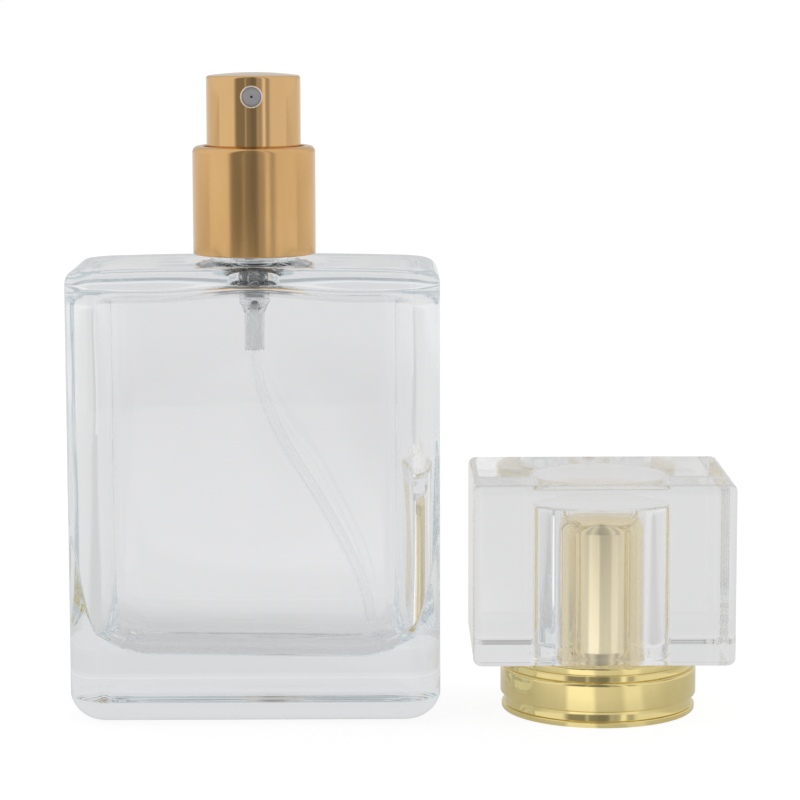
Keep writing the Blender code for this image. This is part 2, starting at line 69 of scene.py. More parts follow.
def fillet(corners, closed, steps=6):
    """Round the corners (r, z, radius) of a profile into a list of (r, z) points."""
    count = len(corners)
    points = []
    for i, (r, z, radius) in enumerate(corners):
        here = np.array((r, z), float)
        if radius <= 0 or (not closed and i in (0, count - 1)):
            points.append(here)
            continue
        before = np.array(corners[i - 1][:2], float) - here
        after = np.array(corners[(i + 1) % count][:2], float) - here
        before /= np.linalg.norm(before)
        after /= np.linalg.norm(after)
        half = math.acos(max(-1.0, min(1.0, float(before @ after)))) / 2
        reach = radius / math.tan(half)
        bisector = (before + after) / np.linalg.norm(before + after)
        centre = here + bisector * radius / math.sin(half)
        start = here + before * reach - centre
        end = here + after * reach - centre
        sweep = math.acos(max(-1.0, min(1.0, float(start @ end) / radius**2)))
        for k in range(steps + 1):
            t = k / steps
            mix = (math.sin((1 - t) * sweep) * start + math.sin(t * sweep) * end) / math.sin(sweep)
            points.append(centre + mix)
    return [(float(p[0]), float(p[1])) for p in points]


def lathe(profile, centre=(0.0, 0.0), segments=160, closed=True, reshape=None):
    """Vertices and faces of a turned body. Points of radius 0 become poles."""
    verts, faces, rings = [], [], []
    for r, z in profile:
        if r < 1e-6:
            rings.append([len(verts)])
            verts.append((centre[0], centre[1], z))
            continue
        start = len(verts)
        for k in range(segments):
            a = math.tau * k / segments
            rr, zz = reshape(r, z, a) if reshape else (r, z)
            verts.append((centre[0] + rr * math.cos(a), centre[1] + rr * math.sin(a), zz))
        rings.append(list(range(start, start + segments)))
    pairs = list(zip(rings, rings[1:]))
    if closed:
        pairs.append((rings[-1], rings[0]))
    for upper, lower in pairs:
        faces.extend(bridge(upper, lower))
    return verts, faces


def bridge(upper, lower):
    """Faces between two rings; the profile runs down its outer side, so these face out."""
    faces = []
    count = max(len(upper), len(lower))
    if len(upper) == 1 and len(lower) == 1:
        return faces
    for k in range(count):
        n = (k + 1) % count
        if len(upper) == 1:
            faces.append((upper[0], lower[k], lower[n]))
        elif len(lower) == 1:
            faces.append((upper[k], lower[0], upper[n]))
        else:
            faces.append((upper[k], lower[k], lower[n], upper[n]))
    return faces


def rect_radius(a, b, r, angles):
    """Distance from the centre to a rounded rectangle (half sizes a, b) along polar angles."""
    c, s = np.abs(np.cos(angles)), np.abs(np.sin(angles))
    c, s = np.maximum(c, 1e-9), np.maximum(s, 1e-9)
    side = a / c
    front = b / s
    cx, cy = a - r, b - r
    dot = c * cx + s * cy
    corner = dot + np.sqrt(np.maximum(dot**2 - cx**2 - cy**2 + r**2, 0.0))
    return np.where(side * s <= cy, side, np.where(front * c <= cx, front, corner))


def outline_angles(a, b, r, corner_steps, flat_steps):
    """Polar angles that sample a rounded rectangle densely at its corners."""
    quarter = []
    for i in range(flat_steps):
        quarter.append(math.atan2((b - r) * math.sin(math.pi / 2 * i / flat_steps), a))
    for i in range(corner_steps + 1):
        u = math.pi / 2 * i / corner_steps
        quarter.append(math.atan2(b - r + r * math.sin(u), a - r + r * math.cos(u)))
    for i in range(1, flat_steps):
        quarter.append(math.atan2(b, (a - r) * math.cos(math.pi / 2 * i / flat_steps)))
    angles = []
    for turn in range(4):
        base = turn * math.pi / 2
        if turn % 2 == 0:
            angles.extend(base + q for q in quarter)
        else:
            angles.extend([base] + [base + math.pi / 2 - q for q in reversed(quarter) if q > 0])
    return np.array(angles)


def loft(rings, angles, centre=(0.0, 0.0)):
    """Vertices and faces of rings given as (radii, heights) along shared polar angles, or a pole."""
    verts, faces, index = [], [], []
    for radii, heights in rings:
        if radii is None:
            index.append([len(verts)])
            verts.append((centre[0], centre[1], float(heights)))
            continue
        start = len(verts)
        heights = np.broadcast_to(heights, angles.shape)
        for a, r, z in zip(angles, radii, heights):
            verts.append((centre[0] + r * math.cos(a), centre[1] + r * math.sin(a), float(z)))
        index.append(list(range(start, start + len(angles))))
    for upper, lower in zip(index, index[1:]):
        faces.extend(bridge(upper, lower))
    return verts, faces


def sweep(points, outer, sides, inner=0.0):
    """Vertices and faces of a round wire, or of a tube with an inner radius, along points."""
    path = [Vector(p) for p in points]
    last = len(path) - 1
    verts, rings = [], []
    normal = (path[1] - path[0]).orthogonal().normalized()
    frames = []
    for i in range(last + 1):
        tangent = (path[min(i + 1, last)] - path[max(i - 1, 0)]).normalized()
        normal = (normal - tangent * normal.dot(tangent)).normalized()
        frames.append((normal.copy(), tangent.cross(normal)))

    def add_rings(radius, order):
        for i in order:
            side, up = frames[i]
            ring = []
            for k in range(sides):
                a = math.tau * k / sides
                ring.append(len(verts))
                verts.append(path[i] + (side * math.cos(a) + up * math.sin(a)) * radius)
            rings.append(ring)

    add_rings(outer, range(last + 1))
    if inner:
        add_rings(inner, range(last, -1, -1))
        pairs = list(zip(rings, rings[1:])) + [(rings[-1], rings[0])]
    else:
        verts.append(path[0])
        verts.append(path[last])
        loop = [[len(verts) - 2]] + rings + [[len(verts) - 1]]
        pairs = list(zip(loop, loop[1:]))
    faces = []
    for current, following in pairs:
        faces.extend(bridge(following, current))
    return verts, faces


def wave(x, y, z, size, seed=0.0):
    """Smooth noise from -1 to 1 with features about size mm across."""
    return noise.noise(Vector((x / size + seed, y / size - seed, z / size + 2 * seed)))


# ---------------------------------------------------------------- materials

def new_material(name):
    mat = bpy.data.materials.new(name)
    mat.use_nodes = True
    return mat, mat.node_tree.nodes, mat.node_tree.links, mat.node_tree.nodes["Principled BSDF"]


def noise_node(nodes, links, scale, detail=3.0, stretch=(1, 1, 1), roughness=0.5):
    """A noise texture in metres of the row frame, stretched per axis."""
    coords = nodes.new("ShaderNodeTexCoord")
    mapping = nodes.new("ShaderNodeMapping")
    mapping.inputs["Scale"].default_value = stretch
    tex = nodes.new("ShaderNodeTexNoise")
    tex.inputs["Scale"].default_value = scale
    tex.inputs["Detail"].default_value = detail
    tex.inputs["Roughness"].default_value = roughness
    links.new(coords.outputs["Object"], mapping.inputs["Vector"])
    links.new(mapping.outputs["Vector"], tex.inputs["Vector"])
    return tex.outputs["Fac"]


def ranged(nodes, links, value, low, high, start=0.3, end=0.7):
    """Map a value's stretch from start to end onto low to high."""
    node = nodes.new("ShaderNodeMapRange")
    node.inputs["From Min"].default_value = start
    node.inputs["From Max"].default_value = end
    node.inputs["To Min"].default_value = low
    node.inputs["To Max"].default_value = high
    links.new(value, node.inputs["Value"])
    return node.outputs["Result"]


def tinted(nodes, links, value, color_a, color_b):
    """Blend two colours by a noise value."""
    ramp = nodes.new("ShaderNodeValToRGB")
    ramp.color_ramp.elements[0].position = 0.35
    ramp.color_ramp.elements[1].position = 0.65
    ramp.color_ramp.elements[0].color = (*color_a, 1)
    ramp.color_ramp.elements[1].color = (*color_b, 1)
    links.new(value, ramp.inputs["Fac"])
    return ramp.outputs["Color"]


def bumped(nodes, links, shader, layers):
    """Chain bump layers (height output, strength, distance in mm) into the shader's normal."""
    normal = None
    for height, strength, distance in layers:
        bump = nodes.new("ShaderNodeBump")
        bump.inputs["Strength"].default_value = strength
        bump.inputs["Distance"].default_value = distance * MM
        links.new(height, bump.inputs["Height"])
        if normal is not None:
            links.new(normal, bump.inputs["Normal"])
        normal = bump.outputs["Normal"]
    links.new(normal, shader.inputs["Normal"])


def clear_material(name, tint, ior, absorb, density, ripple):
    """Glass or resin: a tinted volume under a polished skin with ripples of a given mm."""
    mat, nodes, links, shader = new_material(name)
    cloud = noise_node(nodes, links, 90, 2.0)
    links.new(tinted(nodes, links, cloud, [c * 0.995 for c in tint], tint), shader.inputs["Base Color"])
    shader.inputs["IOR"].default_value = ior
    shader.inputs["Transmission Weight"].default_value = 1.0
    haze = noise_node(nodes, links, 400, 3.0)
    links.new(ranged(nodes, links, haze, 0.0, 0.012), shader.inputs["Roughness"])
    swirl = noise_node(nodes, links, 130, 1.0, (1.0, 1.0, 0.45))
    bumped(nodes, links, shader, [(swirl, 0.35, ripple)])
    volume = nodes.new("ShaderNodeVolumeAbsorption")
    volume.inputs["Color"].default_value = (*absorb, 1)
    volume.inputs["Density"].default_value = density
    links.new(volume.outputs["Volume"], nodes["Material Output"].inputs["Volume"])
    return mat


def gold_material(name, color_a, color_b, rough, grain, grain_size, streak):
    """Metal with a faint change of tone, a fine grain and smears drawn out along Z."""
    mat, nodes, links, shader = new_material(name)
    shader.inputs["Metallic"].default_value = 1.0
    tone = noise_node(nodes, links, 260, 3.0, (1, 1, 0.35))
    links.new(tinted(nodes, links, tone, color_a, color_b), shader.inputs["Base Color"])
    smear = noise_node(nodes, links, 900, 4.0, (1, 1, streak))
    links.new(ranged(nodes, links, smear, rough[0], rough[1]), shader.inputs["Roughness"])
    fine = noise_node(nodes, links, 1000 / grain_size, 2.0)
    broad = noise_node(nodes, links, 220, 1.0, (1, 1, 0.3))
    bumped(nodes, links, shader, [(fine, grain, 0.01), (broad, 0.25, 0.02)])
    return mat


def plastic_material(name, color_a, color_b, rough, transmission=0.0, grain=0.15, ior=1.49):
    """Moulded plastic or rubber with a fine grain; transmission makes it translucent."""
    mat, nodes, links, shader = new_material(name)
    tone = noise_node(nodes, links, 400, 3.0)
    links.new(tinted(nodes, links, tone, color_a, color_b), shader.inputs["Base Color"])
    shader.inputs["Transmission Weight"].default_value = transmission
    shader.inputs["IOR"].default_value = ior
    smear = noise_node(nodes, links, 1200, 3.0)
    links.new(ranged(nodes, links, smear, rough[0], rough[1]), shader.inputs["Roughness"])
    fine = noise_node(nodes, links, 4000, 2.0)
    bumped(nodes, links, shader, [(fine, grain, 0.01)])
    return mat


GLASS = clear_material("flint_glass", (0.97, 0.97, 0.975), 1.52, (0.74, 0.88, 0.95), 5.0, 0.016)
BLOCK = clear_material("clear_resin", (0.95, 0.95, 0.955), 1.58, (0.90, 0.93, 0.97), 3.0, 0.006)
GOLD_SATIN = gold_material(
    "gold_satin", (0.67, 0.405, 0.17), (0.71, 0.44, 0.19), (0.13, 0.20), 0.35, 0.16, 0.12
)
GOLD_GLOSS = gold_material(
    "gold_gloss", (0.68, 0.43, 0.19), (0.71, 0.45, 0.21), (0.03, 0.06), 0.08, 0.12, 0.15
)
GOLD_PALE = gold_material(
    "gold_pale", (0.80, 0.665, 0.295), (0.84, 0.70, 0.325), (0.03, 0.07), 0.03, 0.2, 0.2
)
GOLD_LIP = gold_material(
    "gold_lip", (0.90, 0.80, 0.66), (0.94, 0.85, 0.72), (0.40, 0.50), 0.05, 0.1, 1.0
)
GOLD_LIGHT = gold_material(
    "gold_light", (0.91, 0.805, 0.53), (0.94, 0.83, 0.57), (0.03, 0.07), 0.03, 0.2, 0.2
)
WHITE_PP = plastic_material("white_pp", (0.80, 0.80, 0.78), (0.86, 0.86, 0.84), (0.35, 0.5))
CLEAR_PP = plastic_material(
    "clear_pp", (0.95, 0.96, 0.96), (0.98, 0.99, 0.99), (0.05, 0.14), 0.93, 0.1, 1.36
)
CLEAR_PE = plastic_material(
    "clear_pe", (0.97, 0.98, 0.98), (0.99, 0.99, 0.99), (0.0, 0.04), 1.0, 0.01, 1.16
)
NOZZLE = plastic_material("grey_pom", (0.36, 0.345, 0.36), (0.41, 0.395, 0.41), (0.35, 0.5))
RUBBER = plastic_material("gasket", (0.38, 0.38, 0.38), (0.44, 0.44, 0.44), (0.6, 0.8), 0.0, 0.4)
STEEL = gold_material("steel", (0.60, 0.61, 0.63), (0.68, 0.69, 0.70), (0.12, 0.22), 0.15, 0.1, 1.0)


# ---------------------------------------------------------------- glass bottle

# a, b: half sizes in X and Y; r: corner radius in plan; z: height of the shoulder's edge
BOTTLE = {
    "a": 27.1, "b": 14.5, "r": 5.5, "z": 66.2, "top_r": 2.2,
    "crown": 0.4, "crown_half": 25.0,  # rise of the shoulder, and where it ends
    "base_r": 4.7, "foot_r": 2.0, "recess": 0.22,
    "in_a": 24.3, "in_b": 11.7, "in_r": 5.6, "floor": 9.4, "tilt": 0.012,
    "side_r": 9.5, "side_rise": 6.5,  # the floor's wide sweep up to the sides
    "wall_r": 1.8, "wall_rise": 15.0,  # and its steep end against them
    "face_r": 4.6,
    "roof": 63.05, "roof_r": 1.7, "roof_lift": 0.85, "lift_half": 16.0,
    "bore": 3.9, "mouth_r": 0.8, "neck": 6.35, "neck_top": 74.4,
    "pedestal": 7.9, "pedestal_z": 66.8,
}
NECK_THREAD = {"start": 69.8, "pitch": 2.1, "turns": 1.5, "ridge": 0.75, "half": 0.62}
CLOSURE_THREAD = {"start": 68.75, "pitch": 2.1, "turns": 1.4, "ridge": 0.6, "half": 0.6}
CREASE = math.radians(12)  # slope at which the base's edge leaves the wall
WALL_RIPPLE = 0.10  # waviness of the cavity's wall at its ends
MIDDLE_RIPPLE = 0.12  # and what its middle has on top of that


def crown(x):
    """Height of the shoulder above its edges, in mm."""
    return BOTTLE["crown"] * max(0.0, 1 - (x / BOTTLE["crown_half"]) ** 2)


def roof_height(x):
    """The cavity's roof rises in a soft bump under the neck."""
    half = BOTTLE["lift_half"]
    if abs(x) >= half:
        return BOTTLE["roof"]
    return BOTTLE["roof"] + BOTTLE["roof_lift"] * math.cos(math.pi * x / (2 * half)) ** 2


def bottle_rings(angles):
    """Rings from the cavity's floor up to the neck, over the shoulder and down to the base."""
    d = BOTTLE
    cos, sin = np.cos(angles), np.sin(angles)
    rings = []

    def ring(radii, heights, ripple=0.0, size=9.0):
        heights = np.broadcast_to(np.asarray(heights, float), angles.shape).copy()
        radii = np.asarray(radii, float) * np.ones_like(angles)
        if ripple:
            radii = radii + ripple * np.array([
                wave(r * c, r * s, z * 0.6, size, 3.7)
                for r, c, s, z in zip(radii, cos, sin, heights)
            ])
        rings.append((radii, heights))

    # cavity floor: swept up to the sides and faces, from its centre out to the wavy inner wall
    wall = rect_radius(d["in_a"], d["in_b"], d["in_r"], angles)

    def sweep_up(offset, half, radius, rise):
        """Height of a quarter round that lifts a floor into a wall at offset half."""
        reach = np.clip((np.abs(offset) - (half - radius)) / radius, 0, 1)
        return rise * (1 - np.sqrt(1 - reach**2))

    def floor_z(radii):
        x, y = radii * cos, radii * sin
        ripple = 0.06 * np.array([wave(i, j, 0, 11, 1.3) for i, j in zip(x, y)])
        side = sweep_up(x, d["in_a"], d["side_r"], d["side_rise"])
        side += sweep_up(x, d["in_a"], d["wall_r"], d["wall_rise"])
        face = sweep_up(y, d["in_b"], d["face_r"], d["face_r"])
        return d["floor"] - d["tilt"] * x + ripple + side + face

    rings.append((None, d["floor"]))
    for k in range(1, 25):
        t = math.sin(math.pi / 2 * k / 24)
        ring(wall * t, floor_z(wall * t), WALL_RIPPLE * max(0.0, t - 0.8) / 0.2)
    roof_edge = np.array([roof_height(x) for x in wall * cos])
    low = floor_z(wall)
    high = roof_edge - d["roof_r"]
    for k in range(1, 44):
        t = k / 43
        ripple = WALL_RIPPLE + MIDDLE_RIPPLE * math.sin(math.pi * t)
        ring(wall, low + (high - low) * t, ripple)
    for k in range(1, 7):
        u = math.pi / 2 * k / 6
        inset = d["roof_r"] * (1 - math.cos(u))
        radii = rect_radius(d["in_a"] - inset, d["in_b"] - inset, d["in_r"] - inset, angles)
        ring(radii, high + d["roof_r"] * math.sin(u), WALL_RIPPLE * math.cos(u))
    roof = rect_radius(
        d["in_a"] - d["roof_r"], d["in_b"] - d["roof_r"], d["in_r"] - d["roof_r"], angles
    )
    mouth = d["bore"] + d["mouth_r"]
    for k in range(1, 13):
        t = k / 12
        radii = roof * (1 - t) + mouth * t
        ring(radii, [roof_height(r * c) for r, c in zip(radii, cos)])
    for k in range(1, 6):
        u = math.pi / 2 * k / 5
        ring(mouth - d["mouth_r"] * math.sin(u), roof_height(0) + d["mouth_r"] * (1 - math.cos(u)))
    # bore, lip and threaded neck
    for z in (66.0, 69.0, 72.0, 73.9):
        ring(d["bore"], z)
    top = d["neck_top"]
    for r, z in fillet([(d["bore"], 73.9, 0), (d["bore"], top, 0.35), (5.1, top, 0),
                        (d["neck"], top, 0.5), (d["neck"], 73.8, 0)], False, 5)[1:]:
        ring(r, z)
    z = 73.7
    while z > 68.6:
        ring(d["neck"] + thread_height(angles, z, **NECK_THREAD), z)
        z -= 0.12
    for r, z in fillet([(d["neck"], 68.5, 0), (d["neck"], d["pedestal_z"], 0.4),
                        (d["pedestal"], d["pedestal_z"], 0)], False, 5):
        ring(r, z)
    # shoulder, which swells up to the neck, then its rounded edge, the side and the base
    rim = rect_radius(d["a"] - d["top_r"], d["b"] - d["top_r"], d["r"] - d["top_r"], angles)
    swell = d["pedestal_z"] - d["z"] - crown(0)
    for k in range(1, 25):
        t = (k / 24) ** 1.5
        radii = d["pedestal"] * (1 - t) + rim * t
        slope = np.clip((radii - d["pedestal"]) / 4.0, 0, 1)
        level = np.array([d["z"] + crown(r * c) for r, c in zip(radii, cos)])
        ring(radii, level + swell * (1 - slope**2 * (3 - 2 * slope)))
    edge = np.array([d["z"] + crown(x) for x in rim * cos])
    for k in range(1, 8):
        u = math.pi / 2 * k / 7
        inset = d["top_r"] * (1 - math.sin(u))
        radii = rect_radius(d["a"] - inset, d["b"] - inset, d["r"] - inset, angles)
        ring(radii, edge - d["top_r"] * (1 - math.cos(u)))
    outer = rect_radius(d["a"], d["b"], d["r"], angles)
    top = edge - d["top_r"]
    wall_foot = d["base_r"] * (1 - math.sin(CREASE))
    for k in range(1, 25):
        t = k / 25
        dip = -0.02 * math.sin(math.pi * t)
        ring(outer + dip, top + (wall_foot - top) * t, 0.018 * math.sin(math.pi * t), 14.0)
    for k in range(0, 11):
        u = CREASE + (math.pi / 2 - CREASE) * k / 10
        inset = d["base_r"] * (math.cos(CREASE) - math.cos(u))
        corner = max(d["r"] - inset, d["foot_r"])
        radii = rect_radius(d["a"] - inset, d["b"] - inset, corner, angles)
        ring(radii, d["base_r"] * (1 - math.sin(u)))
    flat = d["base_r"] * math.cos(CREASE)
    base = rect_radius(d["a"] - flat, d["b"] - flat, d["foot_r"], angles)
    for t in (0.97, 0.93, 0.88, 0.8, 0.6, 0.35, 0.12):
        lift = 0.0 if t > 0.95 else d["recess"] * min(1.0, (0.95 - t) / 0.1)
        ring(base * t, [lift + 0.09 * wave(r * c, r * s, 0, 1.6, 8.1) * (lift > 0)
                        for r, c, s in zip(base * t, cos, sin)])
    rings.append((None, d["recess"]))
    return rings


def thread_height(angles, z, start, pitch, turns, ridge, half):
    """Height of a helical ridge, half mm to each side of its crest, at one level."""
    fade_in = 0.06  # part of a turn over which the ridge rises at its ends
    total = np.zeros_like(angles)
    for lap in range(int(turns) + 2):
        turn = angles / math.tau + lap
        gap = np.abs(z - (start + pitch * turn))
        inside = np.clip(1 - (gap / half) ** 2, 0, 1)
        fade = np.clip(turn / fade_in, 0, 1) * np.clip((turns - turn) / fade_in, 0, 1)
        total = np.maximum(total, ridge * np.sqrt(inside) * fade)
    return total


bottle_angles = outline_angles(BOTTLE["a"], BOTTLE["b"], BOTTLE["r"], 20, 14)
verts, faces = loft(bottle_rings(bottle_angles), bottle_angles)
make_object("bottle_glass", verts, faces, GLASS, "bottle", ["glass_bottle"], 50)


# ---------------------------------------------------------------- cap

CAP = (50.7, -2.5)  # X and Y of the cap's axis
BLOCK_SIZE = {
    "a": 18.95, "b": 14.25, "r": 1.4, "low": 9.05, "high": 35.55, "edge": 1.0, "least_r": 0.5,
    "bore": 10.3, "roof": 31.6, "mouth_r": 0.35, "roof_r": 0.4,
}


def block_rings(angles):
    """Rings from the middle of the block's top down its sides and up into its bore."""
    d = BLOCK_SIZE
    rings = [(None, d["high"])]
    flat = rect_radius(d["a"] - d["edge"], d["b"] - d["edge"], d["least_r"], angles)
    for t in (0.1, 0.3, 0.5, 0.7, 0.85, 0.95, 0.99):
        rings.append((flat * t, d["high"]))

    def rounded(z, direction, k_range):
        for k in k_range:
            u = math.pi / 2 * k / 7
            inset = d["edge"] * (1 - math.sin(u))
            corner = max(d["r"] - inset, d["least_r"])
            radii = rect_radius(d["a"] - inset, d["b"] - inset, corner, angles)
            rings.append((radii, z + direction * d["edge"] * (1 - math.cos(u))))

    rounded(d["high"], -1, range(0, 8))
    outer = rect_radius(d["a"], d["b"], d["r"], angles)
    top, bottom = d["high"] - d["edge"], d["low"] + d["edge"]
    for k in range(1, 9):
        t = 0.5 - 0.5 * math.cos(math.pi * k / 9)
        rings.append((outer, top + (bottom - top) * t))
    rounded(d["low"], 1, range(7, -1, -1))
    mouth_r, roof_r = d["mouth_r"], d["roof_r"]
    for t in (0.99, 0.95, 0.8, 0.55, 0.3, 0.1):
        rings.append((flat * t + (d["bore"] + mouth_r) * (1 - t), d["low"]))
    for k in range(0, 5):
        u = math.pi / 2 * k / 4
        rings.append((np.full_like(angles, d["bore"] + mouth_r * (1 - math.sin(u))),
                      d["low"] + mouth_r * (1 - math.cos(u))))
    for t in (0.05, 0.2, 0.4, 0.6, 0.8, 0.95):
        rings.append((np.full_like(angles, d["bore"]),
                      d["low"] + mouth_r + (d["roof"] - roof_r - d["low"] - mouth_r) * t))
    for k in range(0, 5):
        u = math.pi / 2 * k / 4
        rings.append((np.full_like(angles, d["bore"] - roof_r * (1 - math.cos(u))),
                      d["roof"] - roof_r * (1 - math.sin(u))))
    for r in (9.5, 8.0, 6.0, 4.0, 2.0, 0.6):
        rings.append((np.full_like(angles, r), d["roof"]))
    rings.append((None, d["roof"]))
    return rings


block_angles = outline_angles(BLOCK_SIZE["a"], BLOCK_SIZE["b"], BLOCK_SIZE["r"], 10, 26)
verts, faces = loft(block_rings(block_angles), block_angles, CAP)
make_object("cap_block_clear", verts, faces, BLOCK, "cap", ["cap_block"], 50)


def dome(radii, top, drop, half):
    """Corners of a domed top that falls by drop mm at a radius of half."""
    return [(r, top - drop * (r / half) ** 2, 0) for r in radii]


verts, faces = lathe(fillet([
    *dome((0.0, 2.0, 4.0, 5.5, 6.8), 30.3, 0.7, 9.8),
    (9.8, 29.6, 2.0), (9.8, 7.2, 0.15), (11.1, 7.2, 0.15), (11.1, 6.6, 0.15),
    (9.4, 6.6, 0.1), (9.4, 29.1, 1.5), (0.0, 29.7, 0)], False, 9), CAP, 192, False)
make_object("cap_insert_gold", verts, faces, GOLD_LIGHT, "cap", ["cap_insert"])

verts, faces = lathe(fillet([
    (10.1, 8.8, 0.15), (14.15, 8.8, 0.25), (14.15, 7.75, 0.2), (13.7, 7.6, 0.1), (13.85, 6.65, 0.1),
    (14.5, 6.65, 0.5), (14.5, 2.45, 0.3), (13.7, 2.25, 0.1), (13.9, 0.95, 0.1), (14.3, 0.85, 0.15),
    (14.3, 0.0, 0.3), (11.4, 0.0, 0.3), (11.4, 7.5, 0.2), (10.1, 7.5, 0.1)], True, 6), CAP, 224)
make_object("cap_ring_gold", verts, faces, GOLD_PALE, "cap", ["cap_ring"])


GRIP = {"ribs": 8, "depth": 0.6, "inside": 10.2}  # points of a smaller radius are the inner wall


def rib_shape(r, z, angle):
    """Vertical grip ribs on the sleeve's inner wall."""
    if r < GRIP["inside"]:
        rib = max(0.0, math.cos(GRIP["ribs"] * angle)) ** 2
        return r - GRIP["depth"] * rib, z
    return r, z


verts, faces = lathe(fillet([
    (9.7, 6.3, 0.25), (11.1, 6.3, 0.2), (11.1, 1.0, 0.2), (9.7, 1.0, 0.25)], True, 4),
    CAP, 192, True, rib_shape)
make_object("cap_grip_sleeve", verts, faces, WHITE_PP, "cap", ["cap_grip"])


# ---------------------------------------------------------------- closure and spray head

verts, faces = lathe(fillet([
    (7.5, 83.4, 0.15), (8.0, 83.45, 0.3), (9.0, 83.3, 0.95), (9.0, 67.6, 0.18), (8.55, 67.6, 0.18),
    (8.55, 82.9, 0.6), (7.5, 82.95, 0.12)], True, 9), segments=192)
make_object("collar_gold", verts, faces, GOLD_SATIN, "closure", ["collar"])

CLOSURE_BORE = 7.35
closure_wall = [(CLOSURE_BORE, CLOSURE_THREAD["start"] - 0.7 + 0.1 * k, 0) for k in range(46)]


def closure_thread(r, z, angle):
    """The helical ridge inside the screw closure."""
    if abs(r - CLOSURE_BORE) > 1e-6:
        return r, z
    ridge = thread_height(np.array([angle]), z, **CLOSURE_THREAD)
    return r - float(ridge[0]), z


verts, faces = lathe(fillet([
    (3.4, 78.3, 0.1), (8.3, 78.3, 0.4), (8.3, 67.9, 0.1), (CLOSURE_BORE, 67.9, 0.05)] + closure_wall
    + [(CLOSURE_BORE, 77.5, 0.3), (3.4, 77.5, 0.1)], True, 4), segments=144, reshape=closure_thread)
make_object("closure_plastic", verts, faces, WHITE_PP, "closure", ["screw_closure"])

verts, faces = lathe(fillet([
    *dome((0.0, 1.5, 3.0, 4.2, 5.2, 6.0), 94.1, 0.5, 6.9),
    (6.9, 93.6, 0.45), (6.9, 82.6, 0.15), (6.55, 82.6, 0.15), (6.55, 93.3, 0.4), (0.0, 93.6, 0)],
    False, 9), segments=192, closed=False)
shell = make_object(
    "button_shell_gold", verts, faces, GOLD_GLOSS, "spray_head", ["button_shell"]
)


def drill_front(obj, radius, depth_y):
    """Cut a round window from the front (-Y) back to depth_y, at the nozzle's height."""
    length = 20
    bpy.ops.mesh.primitive_cylinder_add(
        vertices=96, radius=radius * MM, depth=length * MM,
        location=(0, (depth_y - length / 2) * MM, NOZZLE_Z * MM), rotation=(math.pi / 2, 0, 0),
    )
    cutter = bpy.context.object
    cut = obj.modifiers.new("window", "BOOLEAN")
    cut.operation = "DIFFERENCE"
    cut.solver = "EXACT"
    cut.object = cutter
    bpy.context.view_layer.update()
    graph = bpy.context.evaluated_depsgraph_get()
    mesh = bpy.data.meshes.new_from_object(obj.evaluated_get(graph))
    obj.modifiers.clear()
    obj.data = mesh
    mesh.shade_smooth()
    mesh.set_sharp_from_angle(angle=math.radians(40))
    bpy.data.objects.remove(cutter, do_unlink=True)


def window_lip(obj, shell_radius, hole_radius, wire):
    """Add the bright rolled lip of the window to the button's shell."""
    ring = []
    for k in range(97):
        a = math.tau * k / 96
        x = hole_radius * math.cos(a)
        ring.append((x, -math.sqrt(shell_radius**2 - x**2), NOZZLE_Z + hole_radius * math.sin(a)))
    verts, faces = sweep(ring, wire, 10)
    bm = bmesh.new()
    bm.from_mesh(obj.data)
    added = [bm.verts.new(tuple(c * MM for c in v)) for v in verts]
    for face in faces:
        rim = bm.faces.new([added[i] for i in face])
        rim.smooth = True
        rim.material_index = 1
    bm.to_mesh(obj.data)
    bm.free()
    obj.data.materials.append(GOLD_LIP)


NOZZLE_Z = 90.7
WINDOW_R = 1.5
drill_front(shell, WINDOW_R, -3.0)
window_lip(shell, 6.84, 1.52, 0.12)

verts, faces = lathe(fillet([
    (0.0, 93.3, 0), (6.3, 93.0, 0.6), (6.3, 83.0, 0.15), (5.3, 83.0, 0.15), (5.3, 88.0, 0.3),
    (2.9, 88.0, 0.3), (2.9, 83.7, 0.15), (1.75, 83.7, 0.2), (1.75, 88.7, 0), (0.5, 88.7, 0),
    (0.5, 90.9, 0), (0.0, 90.9, 0)], False, 5), segments=96, closed=False)
button = make_object(
    "spray_button_plastic", verts, faces, WHITE_PP, "spray_head", ["spray_button"]
)
drill_front(button, WINDOW_R, -3.1)

verts, faces = lathe(fillet([
    (0.17, 6.5, 0.03), (0.6, 6.5, 0.2), (1.0, 6.6, 0.2), (1.42, 6.6, 0.1), (1.42, 3.4, 0.1),
    (0.9, 3.4, 0.05), (0.9, 5.72, 0.05), (0.2, 5.72, 0.03)], True, 4), segments=96)
verts = [(x, -z, y + NOZZLE_Z) for x, y, z in verts]  # laid down to point at the front
make_object(
    "nozzle_insert_grey", verts, faces, NOZZLE, "spray_head", ["nozzle_insert"]
)


# ---------------------------------------------------------------- pump

